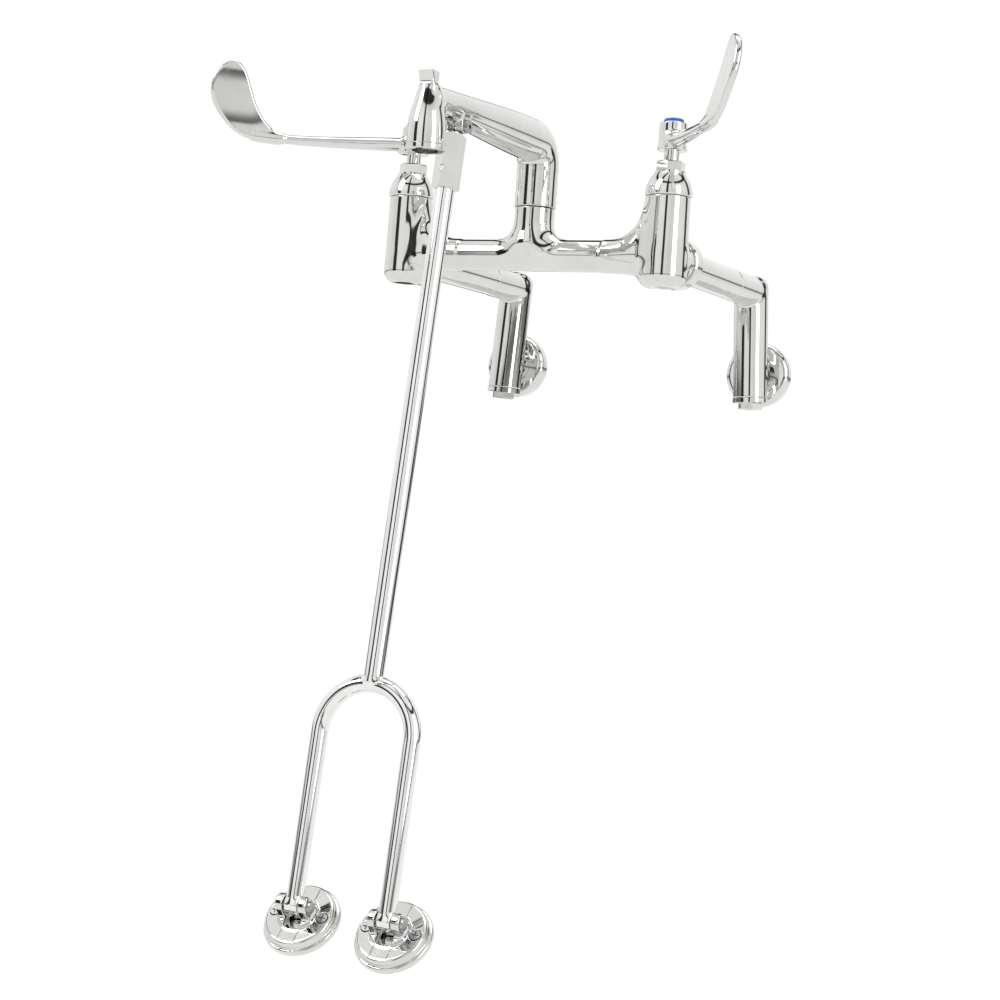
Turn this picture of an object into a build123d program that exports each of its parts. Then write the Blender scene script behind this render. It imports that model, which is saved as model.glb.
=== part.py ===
from build123d import *
import math
import os

# Wall-mounted sink faucet with integral stops, lever handles and a rigid spout
# carried by a forked brace. Millimetres; +X right seen from the front,
# +Y into the wall, +Z up. The origin is the midpoint between the two wall
# inlets, on the finished wall (y = 0).

os.makedirs("parts", exist_ok=True)

# ---------------------------------------------------------------- layout
valve_spacing = 203.2        # between the two valve axes
wall_to_leg = 23.5           # finished wall to the stop-leg axis
arm_length = 188.5           # valve axis to stop-leg axis
inlet_drop = 62.8            # arm axis to wall inlet, measured along the leg
splay = 3.4                  # outward lean of each stop leg, degrees
arm_drop = 1.7               # arm axis below the tube axis
fit_gap = 0.1                # between pieces that stay still together
run_gap = 0.05               # pins and shafts turning in their holes
free_gap = 0.3               # between pieces that move past each other

half = valve_spacing / 2
wall_to_valves = wall_to_leg + arm_length
splay_sin = math.sin(math.radians(splay))
splay_cos = math.cos(math.radians(splay))
arm_z = inlet_drop * splay_cos
tube_z = arm_z + arm_drop
leg_y = -wall_to_leg
inlet_x = half + inlet_drop * splay_sin

# ---------------------------------------------------------------- valve body
tube_r = 11.15
tube_bore_r = 6.5
barrel_r = 16.4              # at its foot, narrower above
barrel_taper = 1.1           # degrees
barrel_top = 41.65           # heights here are above the tube axis
barrel_bottom = -21.3
barrel_round = 8.5
flare_length = 28.0
flare_rise = 30.5
flare_fall = 6.0
flare_merge = 8.0            # how far the flare runs into the barrel
cavity_r = 12.2
cavity_floor = 9.0
seat_hole_r = 6.0
lower_chamber_r = 8.0
outlet_r = 16.5
outlet_end = 16.6            # along +Y from the valve axis
spigot_r = 14.8
spigot_end = 23.5
upright_r = 14.15
upright_top = 33.5
neck_r = 10.4
neck_top = 50.0
upright_bore_r = 7.0
ring_groove = 1.3
ring_width = 2.2
ring_heights = (37.5, 45.5)
passage_start = 28.0         # inside the valve axis, where the slanted waterway begins

# ---------------------------------------------------------------- spout
sleeve_r = 14.8
sleeve_bottom = 33.85
spout_bend = 17.0
spout_axis = 79.8
nozzle_reach = 169.1
nozzle_bottom = 43.5
nozzle_r = 12.6
outlet_ring_h = 3.4
outlet_bore_r = 10.3
straightener_h = 6.0
water_r = 6.0
lug_width = 10.4
lock_screw_z = 41.5
lock_screw_r = 2.0
lock_screw_length = 4.2

# ---------------------------------------------------------------- valves
bonnet_top = 59.1
bonnet_lip_r = 16.3          # stands a little proud of the barrel
bonnet_lip_t = 2.8
dome_r = 14.6                # half way up the dome
dome_z = 51.2
bonnet_neck_r = 10.4
skirt_r = 8.3                # between the dome and the packing
skirt_bottom = 38.2
skirt_floor = 45.6
stuffing_r = 8.2
packing_floor = 49.0
packing_h = 5.6
nut_shank_bottom = 54.7
nut_across_flats = 17.8
nut_top = 66.0
stem_r = 5.3
stem_flange_r = 7.8
stem_flange_z = 42.0
stem_flange_t = 3.3
spline_r = 4.4
spline_h = 10.0
hub_r = 9.8
hub_bottom = 73.6
hub_top = 93.0
button_r = 7.0
button_top = 95.7
handle_reach = 152.4
lever_start = 6.0
blade_length = 34.4          # from the end of the lever to the tip
blade_t = 4.8
hot_angle = -46.0            # handle direction from straight ahead, degrees
cold_angle = 36.5
sleeve_out_r = 12.1
disc_r = 9.6

# ---------------------------------------------------------------- arms
arm_r = 11.55
arm_bore_r = 7.0
shoulder_r = 13.8            # cone behind the union nut
shoulder_length = 8.0
elbow_reach = 54.5           # stop body ahead of the leg axis, where the arm enters
arm_tail_r = 9.4
arm_tail = 12.0
union_r = 18.05
union_front = 17.1
union_back = 29.5
tail_front = 25.0
tail_t = 2.2
tail_r = 13.9
pilot_r = 8.5
leg_r = 13.16
elbow_top = 12.6             # top of the elbow above the arm axis
leg_end = 82.7
cap_end = 91.2
cap_across_flats = 16.6
cap_ring_r = 13.5            # round flange of the cap
cap_ring_t = 3.6
cap_hole_r = 4.0
plug_r = 8.6
inlet_neck_r = 13.3
flange_r = 25.4
flange_t = 5.6                # straight rim of the wall flange
flange_round = 4.0
pipe_r = 10.67               # half-inch taper pipe thread, outside radius
pipe_depth = 15.0
seam_y = arm_length - elbow_reach

# ---------------------------------------------------------------- brace
pivot_back = 37.1            # behind the nozzle axis, under the spout
pivot_y = pivot_back - nozzle_reach
pivot_z = 66.0               # above the tube axis
brace_lean = 8.94            # forward lean at rest, degrees
stud_head_r = 4.2
ear_r = 4.6
ear_span = 17.0              # across the two ears of the spout boss
eye_t = 4.4
pivot_pin_r = 2.5
collar_start = 4.95          # distances below run down the brace
coupling_start = 6.2
coupling_length = 36.5
coupling_across_flats = 15.9
set_screw_along = 24.0
rod_r = 6.35
rod_start = 10.2
fork_top = 361.0
fork_tube_r = 5.55
leg_spacing = 66.3
brace_length = 509.0         # pivot to the foot pins
foot_lean = 47.0             # foot face tipped up from the front, degrees
foot_r = 25.4
foot_rim_t = 4.5
foot_face_r = 23.4
foot_t = 10.0
foot_boss_r = 12.4
foot_pin_h = 9.5
foot_base_t = 2.6            # low round pad under the knuckles
foot_knuckle_r = 5.9
foot_knuckle_x = 11.2
foot_boss_h = 14.5
hinge_pin_r = 2.9
foot_screw_spacing = 34.0
foot_screw_r = 2.2
foot_screw_head_r = 3.6
foot_screw_seat = 2.4
slot_clear = 1.4             # slot of the spout boss above the pivot

SIDES = ((-1, "hot", hot_angle), (1, "cold", cold_angle))


def valve_plane(side, height):
    return Plane(origin=(side * half, -wall_to_valves, tube_z + height), x_dir=(1, 0, 0), z_dir=(0, 0, 1))


def arm_plane(side, along):
    return Plane(origin=(side * half, -wall_to_valves + along, arm_z), x_dir=(1, 0, 0), z_dir=(0, 1, 0))


def leg_plane(side, along):
    return Plane(
        origin=(side * (half + splay_sin * along), leg_y, arm_z - splay_cos * along),
        x_dir=(splay_cos, 0, side * splay_sin),
        z_dir=(side * splay_sin, 0, -splay_cos),
    )


def inlet_plane(side, y):
    return Plane(origin=(side * inlet_x, y, 0), x_dir=(1, 0, 0), z_dir=(0, 1, 0))


def handle_plane(side, angle):
    # x runs out along the lever, y runs up
    hx = math.sin(math.radians(angle))
    hy = -math.cos(math.radians(angle))
    return Plane(origin=(side * half, -wall_to_valves, tube_z), x_dir=(hx, hy, 0), z_dir=(hy, -hx, 0))


def spout_plane(y, height):
    return Plane(origin=(0, -wall_to_valves + y, tube_z + height), x_dir=(1, 0, 0), z_dir=(0, -1, 0))


lean_sin = math.sin(math.radians(brace_lean))
lean_cos = math.cos(math.radians(brace_lean))
pivot = Vector(0, -wall_to_valves + pivot_y, tube_z + pivot_z)
brace_dir = Vector(0, -lean_sin, -lean_cos)


def brace_plane(along, x=0.0):
    return Plane(origin=pivot + brace_dir * along + Vector(x, 0, 0), x_dir=(1, 0, 0), z_dir=brace_dir)


foot_sin = math.sin(math.radians(foot_lean))
foot_cos = math.cos(math.radians(foot_lean))
foot_normal = Vector(0, -foot_cos, foot_sin)


def foot_plane(side, height):
    # height 0 is the wall face of the foot, z points away from the wall
    pin = pivot + brace_dir * brace_length + Vector(side * leg_spacing / 2, 0, 0)
    base = pin - foot_normal * (foot_t + foot_pin_h)
    return Plane(origin=base + foot_normal * height, x_dir=(1, 0, 0), z_dir=foot_normal)


def pin_plane(side, x):
    pin = pivot + brace_dir * brace_length + Vector(side * leg_spacing / 2, 0, 0)
    return Plane(origin=pin + Vector(x, 0, 0), x_dir=(0, 1, 0), z_dir=(1, 0, 0))


# ================================================================ valve body
with BuildPart() as valve_body:
    with BuildSketch(Plane(origin=(-half, -wall_to_valves, tube_z), x_dir=(0, 1, 0), z_dir=(1, 0, 0))):
        Circle(tube_r)
    extrude(amount=valve_spacing)
    # upright, spread onto the tube
    for k in range(5):
        s = k / 4 * 0.96
        grow = 1 - math.sqrt(1 - s * s)
        with BuildSketch(Plane(origin=(0, -wall_to_valves, tube_z + 16 - 12 * s), z_dir=(0, 0, 1))):
            Ellipse(upright_r + 9 * grow, upright_r - (upright_r - tube_r + 0.6) * grow)
    loft()
    with BuildSketch(Plane(origin=(0, -wall_to_valves, tube_z + 16), z_dir=(0, 0, 1))):
        Circle(upright_r)
    extrude(amount=upright_top - 16)
    with BuildSketch(Plane(origin=(0, -wall_to_valves, tube_z + upright_top), z_dir=(0, 0, 1))):
        Circle(neck_r)
    extrude(amount=neck_top - upright_top)
    for side, name, angle in SIDES:
        # flare from the tube into the barrel
        for t in (0.0, 0.3, 0.5, 0.7, 0.85, 0.94, 0.985):
            rise = tube_r - 0.2 + flare_rise * (1 - math.sqrt(1 - t * t))
            fall = tube_r - 0.2 + flare_fall * (1 - math.sqrt(1 - t * t))
            x = side * (half - barrel_r + 0.8 - flare_length * (1 - t))
            flare = Plane(
                origin=(x, -wall_to_valves, tube_z + (rise - fall) / 2), x_dir=(0, 1, 0), z_dir=(1, 0, 0)
            )
            with BuildSketch(flare):
                Ellipse(tube_r - 0.2 + 0.5 * t, (rise + fall) / 2)
        loft()
        with BuildSketch(flare):
            Ellipse(tube_r - 0.2 + 0.5 * t, (rise + fall) / 2)
        extrude(amount=side * flare_merge)
        with BuildSketch(valve_plane(side, barrel_bottom)):
            Circle(barrel_r)
        extrude(amount=barrel_top - barrel_bottom, taper=barrel_taper)
        fillet(valve_body.edges().filter_by(GeomType.CIRCLE).group_by(Axis.Z)[0], radius=barrel_round)
        with BuildSketch(arm_plane(side, 0)):
            Circle(outlet_r)
        extrude(amount=outlet_end)
        with BuildSketch(arm_plane(side, outlet_end)):
            Circle(spigot_r)
        extrude(amount=spigot_end - outlet_end)
    for side, name, angle in SIDES:
        with BuildSketch(valve_plane(side, cavity_floor)):
            Circle(cavity_r)
        extrude(amount=barrel_top - cavity_floor, mode=Mode.SUBTRACT)
        with BuildSketch(valve_plane(side, 0)):
            Circle(seat_hole_r)
        extrude(amount=cavity_floor, mode=Mode.SUBTRACT)
        with BuildSketch(arm_plane(side, -seat_hole_r - 1.4)):
            Circle(lower_chamber_r)
        extrude(amount=seat_hole_r + 1.4 + spigot_end - 5.5, mode=Mode.SUBTRACT)
        with BuildSketch(arm_plane(side, spigot_end - 5.5)):
            Circle(pilot_r + run_gap)
        extrude(amount=5.5, mode=Mode.SUBTRACT)
        passage = Plane(
            origin=(side * (half - passage_start), -wall_to_valves, tube_z),
            x_dir=(0, 1, 0),
            z_dir=(side * 16, 0, 18),
        )
        with BuildSketch(passage):
            Circle(4)
        extrude(amount=24, mode=Mode.SUBTRACT)
    bore_start = half - passage_start
    bore = Plane(origin=(-bore_start, -wall_to_valves, tube_z), x_dir=(0, 1, 0), z_dir=(1, 0, 0))
    with BuildSketch(bore):
        Circle(tube_bore_r)
    extrude(amount=2 * bore_start, mode=Mode.SUBTRACT)
    with BuildSketch(Plane(origin=(0, -wall_to_valves, tube_z), z_dir=(0, 0, 1))):
        Circle(upright_bore_r)
    extrude(amount=neck_top, mode=Mode.SUBTRACT)
    for ring in ring_heights:
        with BuildSketch(Plane(origin=(0, -wall_to_valves, tube_z + ring), z_dir=(0, 0, 1))):
            Circle(neck_r)
            Circle(neck_r - ring_groove, mode=Mode.SUBTRACT)
        extrude(amount=ring_width, mode=Mode.SUBTRACT)
valve_body.part.label = "valve_body"
export_step(valve_body.part, "parts/valve_body.step")

# ================================================================ spout
bend_z = spout_axis - spout_bend
arm_run = nozzle_reach - spout_bend
arm_sections = (             # share of the run, fall below the axis, radius
    (0.0, 0.0, sleeve_r),
    (0.112, 0.1, 14.6),
    (0.25, 0.4, 14.0),
    (0.414, 0.8, 12.9),
    (0.611, 1.4, 11.4),
    (0.769, 1.8, 10.3),
    (0.907, 2.2, 9.4),
    (1.0, 2.5, 8.8),
)
nozzle_profile = (
    (6.2, 84.0), (8.8, 75.2), (10.9, 68.6), (11.8, 63.5), (12.2, 59.6), (12.6, 54.0),
)
with BuildPart() as spout:
    with BuildSketch(Plane(origin=(0, -wall_to_valves, tube_z + sleeve_bottom), z_dir=(0, 0, 1))):
        Circle(sleeve_r)
    extrude(amount=bend_z - sleeve_bottom)
    # elbow and tapering arm
    with BuildSketch(Plane(origin=(0, -wall_to_valves, tube_z + bend_z), z_dir=(0, 0, 1))):
        Circle(sleeve_r)
    revolve(
        axis=Axis((0, -wall_to_valves - spout_bend, tube_z + bend_z), (1, 0, 0)),
        revolution_arc=90,
    )
    for share, fall, radius in arm_sections:
        with BuildSketch(spout_plane(-spout_bend - share * arm_run, spout_axis - fall)):
            Circle(radius)
    loft()
    # nozzle
    nozzle_plane = Plane(origin=(0, -wall_to_valves - nozzle_reach, tube_z), x_dir=(1, 0, 0), z_dir=(0, -1, 0))
    with BuildSketch(nozzle_plane):
        with BuildLine():
            Spline(*[(r, z) for r, z in nozzle_profile])
            Polyline(
                (nozzle_profile[-1][0], nozzle_profile[-1][1]),
                (nozzle_r, nozzle_bottom + outlet_ring_h + fit_gap),
                (0, nozzle_bottom + outlet_ring_h + fit_gap),
                (0, nozzle_profile[0][1] + 1.5),
                (3.0, nozzle_profile[0][1] + 1.2),
                (nozzle_profile[0][0], nozzle_profile[0][1]),
            )
        make_face()
    revolve(axis=Axis((0, -wall_to_valves - nozzle_reach, 0), (0, 0, 1)))
    # pail hook on the nozzle
    hook_plane = Plane(origin=(0, -wall_to_valves - nozzle_reach, tube_z), x_dir=(0, 1, 0), z_dir=(1, 0, 0))
    with BuildSketch(hook_plane):
        with BuildLine():
            Polyline((-3.6, 80), (-4.2, 86), (-7.8, 95), (4.0, 95), (3.2, 86), (3.2, 80), close=True)
        make_face()
    extrude(amount=lug_width / 2, both=True)
    # boss for the brace
    with BuildSketch(Plane(origin=pivot, x_dir=(0, 1, 0), z_dir=(1, 0, 0))):
        Circle(ear_r)
        with Locations((0, 5)):
            Rectangle(2 * ear_r, 10)
    extrude(amount=ear_span / 2, both=True)
    # slot for the brace eye
    with BuildSketch(Plane(origin=pivot, x_dir=(0, 1, 0), z_dir=(1, 0, 0))):
        Circle(stud_head_r + free_gap)
        with Locations((0, slot_clear)):
            Rectangle(13, 20, align=(Align.CENTER, Align.MAX))
    extrude(amount=eye_t / 2 + free_gap, both=True, mode=Mode.SUBTRACT)
    with BuildSketch(Plane(origin=pivot - Vector(20, 0, 0), x_dir=(0, 1, 0), z_dir=(1, 0, 0))):
        Circle(pivot_pin_r + fit_gap)
    extrude(amount=40, mode=Mode.SUBTRACT)
    # waterway
    with BuildLine():
        FilletPolyline(
            (0, -wall_to_valves, tube_z + neck_top),
            (0, -wall_to_valves, tube_z + spout_axis + 1.5),
            (0, -wall_to_valves - nozzle_reach, tube_z + 78.6),
            (0, -wall_to_valves - nozzle_reach, tube_z + 55),
            radius=11,
        )
    with BuildSketch(Plane(origin=(0, -wall_to_valves, tube_z + neck_top), z_dir=(0, 0, 1))):
        Circle(water_r)
    sweep(mode=Mode.SUBTRACT)
    with BuildSketch(Plane(origin=(0, -wall_to_valves, tube_z + sleeve_bottom), z_dir=(0, 0, 1))):
        Circle(neck_r + fit_gap)
    extrude(amount=neck_top + 1 - sleeve_bottom, mode=Mode.SUBTRACT)
    with BuildSketch(
        Plane(origin=(0, -wall_to_valves - nozzle_reach, tube_z + nozzle_bottom), z_dir=(0, 0, 1))
    ):
        Circle(outlet_bore_r)
    extrude(amount=16, mode=Mode.SUBTRACT)
    lock = Plane(origin=(0, -wall_to_valves, tube_z + lock_screw_z), x_dir=(1, 0, 0), z_dir=(0, 1, 0))
    with BuildSketch(lock):
        Circle(lock_screw_r + fit_gap)
    extrude(amount=20, mode=Mode.SUBTRACT)
spout.part.label = "spout"
export_step(spout.part, "parts/spout.step")

with BuildPart() as spout_o_rings:
    for ring in ring_heights:
        with BuildSketch(Plane(origin=(0, -wall_to_valves, tube_z + ring + 0.05), z_dir=(0, 0, 1))):
            Circle(neck_r + 0.05)
            Circle(neck_r - ring_groove + 0.02, mode=Mode.SUBTRACT)
        extrude(amount=ring_width - 0.1)
spout_o_rings.part.label = "spout_o_rings"
export_step(spout_o_rings.part, "parts/spout_o_rings.step")

with BuildPart() as spout_lock_screw:
    with BuildSketch(lock.offset(neck_r + 0.05)):
        Circle(lock_screw_r)
    extrude(amount=lock_screw_length)
    with BuildSketch(lock.offset(neck_r + 0.05 + lock_screw_length)):
        RegularPolygon(1.15, 6)
    extrude(amount=-2, mode=Mode.SUBTRACT)
spout_lock_screw.part.label = "spout_lock_screw"
export_step(spout_lock_screw.part, "parts/spout_lock_screw.step")

with BuildPart() as outlet_ring:
    with BuildSketch(
        Plane(origin=(0, -wall_to_valves - nozzle_reach, tube_z + nozzle_bottom), z_dir=(0, 0, 1))
    ):
        Circle(nozzle_r + 0.2)
        Circle(8.6, mode=Mode.SUBTRACT)
    extrude(amount=outlet_ring_h)
    with BuildSketch(
        Plane(origin=(0, -wall_to_valves - nozzle_reach, tube_z + nozzle_bottom + outlet_ring_h), z_dir=(0, 0, 1))
    ):
        Circle(outlet_bore_r - fit_gap)
        Circle(8.6, mode=Mode.SUBTRACT)
    extrude(amount=4)
    lowest = outlet_ring.edges().filter_by(GeomType.CIRCLE).group_by(Axis.Z)[0]
    fillet(lowest.sort_by(SortBy.RADIUS)[-1], radius=0.8)
outlet_ring.part.label = "outlet_ring"
export_step(outlet_ring.part, "parts/outlet_ring.step")

with BuildPart() as flow_straightener:
    base = nozzle_bottom + outlet_ring_h + 4.1
    with BuildSketch(Plane(origin=(0, -wall_to_valves - nozzle_reach, tube_z + base), z_dir=(0, 0, 1))):
        Circle(outlet_bore_r - fit_gap)
        with PolarLocations(6.4, 10):
            Circle(1.3, mode=Mode.SUBTRACT)
        with PolarLocations(3.0, 5):
            Circle(1.1, mode=Mode.SUBTRACT)
    extrude(amount=straightener_h)
flow_straightener.part.label = "flow_straightener"
export_step(flow_straightener.part, "parts/flow_straightener.step")

# ================================================================ valves
# blade outline: distance back from the tip, height above the tube axis
blade_front = (
    (55.2, 77.3), (49.2, 79.0), (39.9, 87.7), (33.4, 97.0), (29.1, 107.2), (24.7, 118.2), (19.9, 124.6),
)
blade_crown = ((19.9, 124.6), (16.0, 125.4), (12.1, 124.2))
blade_rear = (
    (12.1, 124.2), (6.4, 121.2), (1.9, 115.3), (0.0, 106.4), (2.4, 95.3), (8.9, 85.3), (16.7, 77.5),
    (26.4, 72.3), (38.8, 70.6), (52.4, 71.2),
)
for side, name, angle in SIDES:
    with BuildPart() as bonnet:
        with BuildSketch(handle_plane(side, 0)):
            with BuildLine():
                Polyline(
                    (stem_r + run_gap, skirt_floor),
                    (skirt_r, skirt_floor),
                    (skirt_r, skirt_bottom),
                    (cavity_r - fit_gap, skirt_bottom),
                    (cavity_r - fit_gap, barrel_top),
                    (bonnet_lip_r - 0.8, barrel_top),
                    (bonnet_lip_r, barrel_top + 0.8),
                    (bonnet_lip_r, barrel_top + bonnet_lip_t),
                )
                ThreePointArc(
                    (bonnet_lip_r, barrel_top + bonnet_lip_t),
                    (dome_r, dome_z),
                    (bonnet_neck_r, bonnet_top - 1.2),
                )
                Polyline(
                    (bonnet_neck_r, bonnet_top - 1.2),
                    (bonnet_neck_r, bonnet_top),
                    (stuffing_r, bonnet_top),
                    (stuffing_r, packing_floor),
                    (stem_r + run_gap, packing_floor),
                    (stem_r + run_gap, skirt_floor),
                )
            make_face()
        revolve(axis=Axis((side * half, -wall_to_valves, 0), (0, 0, 1)))
    bonnet.part.label = f"{name}_bonnet"
    export_step(bonnet.part, f"parts/{name}_bonnet.step")

    with BuildPart() as packing:
        with BuildSketch(valve_plane(side, packing_floor)):
            Circle(stuffing_r - fit_gap)
            Circle(stem_r + run_gap, mode=Mode.SUBTRACT)
        extrude(amount=packing_h)
    packing.part.label = f"{name}_packing"
    export_step(packing.part, f"parts/{name}_packing.step")

    with BuildPart() as packing_nut:
        with BuildSketch(valve_plane(side, bonnet_top)):
            RegularPolygon(nut_across_flats / 2, 6, major_radius=False, rotation=angle)
        extrude(amount=nut_top - bonnet_top)
        chamfer(packing_nut.edges().group_by(Axis.Z)[-1], length=0.7)
        with BuildSketch(valve_plane(side, nut_shank_bottom)):
            Circle(stuffing_r - fit_gap)
        extrude(amount=bonnet_top - nut_shank_bottom)
        with BuildSketch(valve_plane(side, nut_shank_bottom)):
            Circle(stem_r + run_gap)
        extrude(amount=nut_top - nut_shank_bottom, mode=Mode.SUBTRACT)
    packing_nut.part.label = f"{name}_packing_nut"
    export_step(packing_nut.part, f"parts/{name}_packing_nut.step")

    # quarter-turn ceramic cartridge
    with BuildPart() as seat_washer:
        with BuildSketch(valve_plane(side, cavity_floor)):
            Circle(sleeve_out_r)
            Circle(seat_hole_r, mode=Mode.SUBTRACT)
        extrude(amount=1.6)
    seat_washer.part.label = f"{name}_seat_washer"
    export_step(seat_washer.part, f"parts/{name}_seat_washer.step")

    with BuildPart() as cartridge_sleeve:
        with BuildSketch(valve_plane(side, cavity_floor + 1.6)):
            Circle(sleeve_out_r)
            Circle(disc_r + free_gap, mode=Mode.SUBTRACT)
        extrude(amount=skirt_bottom - cavity_floor - 1.6)
        with BuildSketch(valve_plane(side, 26.0)):
            Circle(sleeve_out_r)
            Circle(stem_r + run_gap, mode=Mode.SUBTRACT)
        extrude(amount=5)
        port = Vector(side * half, -wall_to_valves, tube_z + 19.0)
        with BuildSketch(Plane(origin=port - Vector(0, 15, 0), x_dir=(1, 0, 0), z_dir=(0, 1, 0))):
            RectangleRounded(10, 7, 1.5)
        extrude(amount=30, mode=Mode.SUBTRACT)
        with BuildSketch(Plane(origin=port - Vector(15, 0, 0), x_dir=(0, 1, 0), z_dir=(1, 0, 0))):
            RectangleRounded(10, 7, 1.5)
        extrude(amount=30, mode=Mode.SUBTRACT)
    cartridge_sleeve.part.label = f"{name}_cartridge_sleeve"
    export_step(cartridge_sleeve.part, f"parts/{name}_cartridge_sleeve.step")

    with BuildPart() as fixed_disc:
        with BuildSketch(valve_plane(side, cavity_floor + 1.6)):
            Circle(disc_r)
            with PolarLocations(4.2, 2, start_angle=angle):
                Circle(2.6, mode=Mode.SUBTRACT)
        extrude(amount=3.4)
    fixed_disc.part.label = f"{name}_fixed_disc"
    export_step(fixed_disc.part, f"parts/{name}_fixed_disc.step")

    with BuildPart() as moving_disc:
        with BuildSketch(valve_plane(side, cavity_floor + 5.0)):
            Circle(disc_r)
            with PolarLocations(7.6, 2, start_angle=angle):
                Circle(3.4, mode=Mode.SUBTRACT)
        extrude(amount=4.0)
        with BuildSketch(valve_plane(side, cavity_floor + 9.0)):
            Rectangle(12.2, 4.2, rotation=angle)
        extrude(amount=-1.6, mode=Mode.SUBTRACT)
    moving_disc.part.label = f"{name}_moving_disc"
    export_step(moving_disc.part, f"parts/{name}_moving_disc.step")

    with BuildPart() as stem:
        with BuildSketch(valve_plane(side, cavity_floor + 7.5)):
            Rectangle(12.0, 4.0, rotation=angle)
        extrude(amount=4.5)
        with BuildSketch(valve_plane(side, cavity_floor + 11.5)):
            Circle(stem_r)
        extrude(amount=hub_bottom - cavity_floor - 11.5)
        with BuildSketch(valve_plane(side, stem_flange_z)):
            Circle(stem_flange_r)
        extrude(amount=stem_flange_t)
        with BuildSketch(valve_plane(side, hub_bottom)):
            RegularPolygon(spline_r, 12)
        extrude(amount=spline_h)
        with BuildSketch(valve_plane(side, hub_bottom + spline_h)):
            Circle(1.6)
        extrude(amount=-9, mode=Mode.SUBTRACT)
    stem.part.label = f"{name}_stem"
    export_step(stem.part, f"parts/{name}_stem.step")

    lever_run = handle_reach - blade_length - lever_start
    lever_sections = (       # share of the run, height, half height, half width
        (0.0, 80.0, 4.6, 5.2),
        (0.214, 78.1, 4.5, 4.6),
        (0.482, 75.9, 4.1, 4.2),
        (0.75, 74.2, 3.2, 3.7),
        (1.0, 74.0, 3.2, 2.6),
    )
    with BuildPart() as handle:
        for share, height, rise, width in lever_sections:
            reach = lever_start + share * lever_run
            frame = handle_plane(side, angle)
            section = Plane(
                origin=frame.origin + frame.x_dir * reach + frame.y_dir * height,
                x_dir=frame.z_dir,
                z_dir=frame.x_dir,
            )
            with BuildSketch(section):
                Ellipse(width, rise)
        loft()
        with BuildSketch(handle_plane(side, angle)):
            with BuildLine():
                Spline(*[(handle_reach - back, height) for back, height in blade_front])
                ThreePointArc(*[(handle_reach - back, height) for back, height in blade_crown])
                Spline(*[(handle_reach - back, height) for back, height in blade_rear])
                Line(
                    (handle_reach - blade_rear[-1][0], blade_rear[-1][1]),
                    (handle_reach - blade_front[0][0], blade_front[0][1]),
                )
            make_face()
        extrude(amount=blade_t / 2, both=True)
        with BuildSketch(valve_plane(side, hub_bottom)):
            Circle(hub_r)
        extrude(amount=hub_top - hub_bottom)
        with BuildSketch(valve_plane(side, hub_top)):
            Circle(button_r + fit_gap)
        extrude(amount=-4.2, mode=Mode.SUBTRACT)
        with BuildSketch(valve_plane(side, hub_top - 4.2)):
            Circle(2.2)
        extrude(amount=-8, mode=Mode.SUBTRACT)
        with BuildSketch(valve_plane(side, hub_bottom)):
            RegularPolygon(spline_r + fit_gap, 12)
        extrude(amount=spline_h + fit_gap, mode=Mode.SUBTRACT)
    handle.part.label = f"{name}_handle"
    export_step(handle.part, f"parts/{name}_handle.step")

    with BuildPart() as handle_screw:
        with BuildSketch(valve_plane(side, hub_top - 4.2)):
            Circle(3.6)
        extrude(amount=2.2)
        with BuildSketch(valve_plane(side, hub_top - 4.2)):
            Circle(1.5)
        extrude(amount=-12)
        with BuildSketch(valve_plane(side, hub_top - 2.0)):
            Rectangle(5.6, 0.9)
        extrude(amount=-1.0, mode=Mode.SUBTRACT)
    handle_screw.part.label = f"{name}_handle_screw"
    export_step(handle_screw.part, f"parts/{name}_handle_screw.step")

    with BuildPart() as index_button:
        with BuildSketch(valve_plane(side, hub_top - 1.8)):
            Circle(button_r)
        extrude(amount=button_top - hub_top + 1.8)
        fillet(index_button.edges().group_by(Axis.Z)[-1], radius=1.4)
    index_button.part.label = f"{name}_index_button"
    export_step(index_button.part, f"parts/{name}_index_button.step")

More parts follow.
